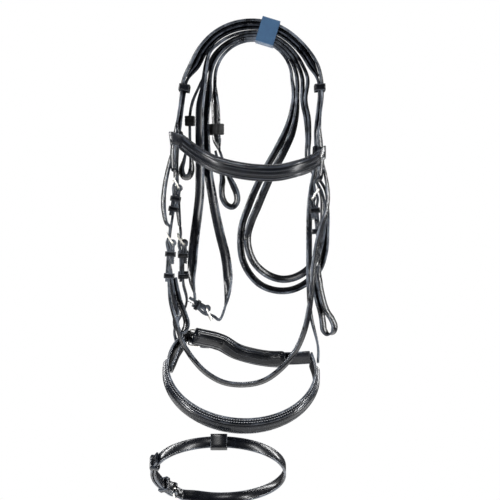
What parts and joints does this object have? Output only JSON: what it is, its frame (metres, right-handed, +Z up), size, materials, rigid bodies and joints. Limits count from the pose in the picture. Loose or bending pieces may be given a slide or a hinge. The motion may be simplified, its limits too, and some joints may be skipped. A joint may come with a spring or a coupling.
{
  "type": "snaffle bridle",
  "caption": "Leather snaffle bridle with padded crown and browband, buckled cheeks, throatlash, cavesson and flash noseband, and looped reins, hung from its crown without a bit.",
  "frame": {"origin": "underside of the reins where they cross the middle of the crown, which rests on the bracket", "axes": "+Z up, -Y towards the front of the horse (the browband side), +X to the viewer's right when facing the front"},
  "size_m": [0.2534, 0.1866, 0.6647],
  "materials": {
    "leather": "semi-gloss, with fine grain and stitching near the edges",
    "padding": "soft padded leather, semi-gloss",
    "webbing": "woven",
    "steel": "polished",
    "rubber": "satin"
  },
  "bodies": {
    "crown": {"headpiece": "leather", "poll_pad": "padding", "noseband_headstrap": "leather", "headpiece_loop_left": "leather", "headpiece_loop_right": "leather", "label_band": "webbing", "rein_right": "leather", "rein_left": "leather", "rein_buckle": "steel", "rein_keeper": "leather", "rein_hook_stud_right": "steel", "rein_hook_stud_left": "steel"},
    "browband": {"browband": "leather", "browband_padding": "padding"},
    "cheek_left": {"cheekpiece_left": "leather", "cheek_billet_left": "leather", "cheek_buckle_left": "steel", "cheek_keeper_left": "leather", "cheek_hook_stud_left": "steel"},
    "cheek_right": {"cheekpiece_right": "leather", "cheek_billet_right": "leather", "cheek_buckle_right": "steel", "cheek_keeper_right": "leather", "cheek_hook_stud_right": "steel"},
    "throat": {"throatlash": "leather", "throat_billet": "leather", "throat_buckle": "steel", "throat_keeper": "leather"},
    "noseband": {"noseband_front": "leather", "noseband_padding": "padding", "noseband_cheek_left": "leather", "noseband_cheek_right": "leather", "noseband_billet": "leather", "noseband_buckle": "steel", "noseband_keeper": "leather", "chin_strap": "leather", "chin_pad": "padding", "chin_billet": "leather", "chin_buckle": "steel", "chin_keeper": "leather", "flash_hanger": "leather"},
    "flash": {"flash_strap": "leather", "flash_buckle": "steel", "flash_keeper": "leather"},
    "cheek_prong_left": {"cheek_prong_left": "steel"},
    "cheek_prong_right": {"cheek_prong_right": "steel"},
    "throat_prong": {"throat_prong": "steel"},
    "noseband_prong": {"noseband_prong": "steel"},
    "chin_prong": {"chin_prong": "steel"},
    "flash_prong": {"flash_prong": "steel"},
    "rein_prong": {"rein_prong": "steel"},
    "cheek_runner_left": {"cheek_runner_left": "leather"},
    "cheek_runner_right": {"cheek_runner_right": "leather"},
    "throat_runner": {"throat_runner": "leather"},
    "noseband_runner": {"noseband_runner": "leather"},
    "flash_runner": {"flash_runner": "leather"},
    "rein_stop_right": {"rein_stop_right": "rubber"},
    "rein_stop_left": {"rein_stop_left": "rubber"}
  },
  "joints": [
    {"name": "browband_slide", "type": "slide", "parent": "crown", "child": "browband", "axis": [0, 0, 1], "range_m": [-0.001, 0.002]},
    {"name": "cheek_left_swing", "type": "hinge", "parent": "crown", "child": "cheek_left", "pos_m": [-0.10498, 0, -0.1654], "axis": [0, 1, 0], "range_deg": [-3, 2.3]},
    {"name": "cheek_right_swing", "type": "hinge", "parent": "crown", "child": "cheek_right", "pos_m": [0.08705, 0, -0.1754], "axis": [0, 1, 0], "range_deg": [-6, 12]},
    {"name": "throat_swing", "type": "hinge", "parent": "crown", "child": "throat", "pos_m": [0, -0.02998, -0.2465], "axis": [1, 0, 0], "range_deg": [-25, 2]},
    {"name": "noseband_swing", "type": "hinge", "parent": "crown", "child": "noseband", "pos_m": [0, 0.00732, -0.2445], "axis": [1, 0, 0], "range_deg": [-7.5, 0]},
    {"name": "flash_swing", "type": "hinge", "parent": "noseband", "child": "flash", "pos_m": [-0.0455, -0.072, -0.5324], "axis": [1, 0, 0], "range_deg": [-10, 10]},
    {"name": "cheek_prong_left_lift", "type": "hinge", "parent": "cheek_left", "child": "cheek_prong_left", "pos_m": [-0.1005, -0.008, -0.1975], "axis": [0, -1, 0], "range_deg": [0, 6]},
    {"name": "cheek_prong_right_lift", "type": "hinge", "parent": "cheek_right", "child": "cheek_prong_right", "pos_m": [0.079, -0.008, -0.212], "axis": [0, 1, 0], "range_deg": [0, 6]},
    {"name": "throat_prong_lift", "type": "hinge", "parent": "throat", "child": "throat_prong", "pos_m": [-0.1081, -0.03, -0.2715], "axis": [0, -1, 0], "range_deg": [0, 6]},
    {"name": "noseband_prong_lift", "type": "hinge", "parent": "noseband", "child": "noseband_prong", "pos_m": [-0.094, 0.015, -0.272], "axis": [0, -0.9755, -0.2201], "range_deg": [0, 6]},
    {"name": "chin_prong_lift", "type": "hinge", "parent": "noseband", "child": "chin_prong", "pos_m": [-0.074, 0.0535, -0.403], "axis": [-0.1123, -0.1413, -0.9836], "range_deg": [0, 6]},
    {"name": "flash_prong_lift", "type": "hinge", "parent": "flash", "child": "flash_prong", "pos_m": [-0.10963, 0.0516, -0.60963], "axis": [0, 0.5299, 0.848], "range_deg": [0, 15]},
    {"name": "rein_prong_lift", "type": "hinge", "parent": "crown", "child": "rein_prong", "pos_m": [-0.063, 0, -0.36], "axis": [0, 1, 0], "range_deg": [0, 6]},
    {"name": "cheek_runner_left_slide", "type": "slide", "parent": "cheek_left", "child": "cheek_runner_left", "axis": [0.1701, 0, 0.9854], "range_m": [-0.005, 0.005]},
    {"name": "cheek_runner_right_slide", "type": "slide", "parent": "cheek_right", "child": "cheek_runner_right", "axis": [-0.1, 0, 0.995], "range_m": [-0.01, 0.018]},
    {"name": "throat_runner_slide", "type": "slide", "parent": "throat", "child": "throat_runner", "axis": [0.0599, 0, 0.9982], "range_m": [-0.005, 0.018]},
    {"name": "noseband_runner_slide", "type": "slide", "parent": "noseband", "child": "noseband_runner", "axis": [0, -0.2201, 0.9755], "range_m": [-0.005, 0.018]},
    {"name": "flash_runner_slide", "type": "slide", "parent": "flash", "child": "flash_runner", "axis": [-0.2672, 0.8172, -0.5107], "range_m": [-0.006, 0.008]},
    {"name": "rein_stop_right_slide", "type": "slide", "parent": "crown", "child": "rein_stop_right", "axis": [-0.03, 0, 0.9996], "range_m": [-0.003, 0.02]},
    {"name": "rein_stop_left_slide", "type": "slide", "parent": "crown", "child": "rein_stop_left", "axis": [0, 0, 1], "range_m": [-0.012, 0.005]}
  ]
}
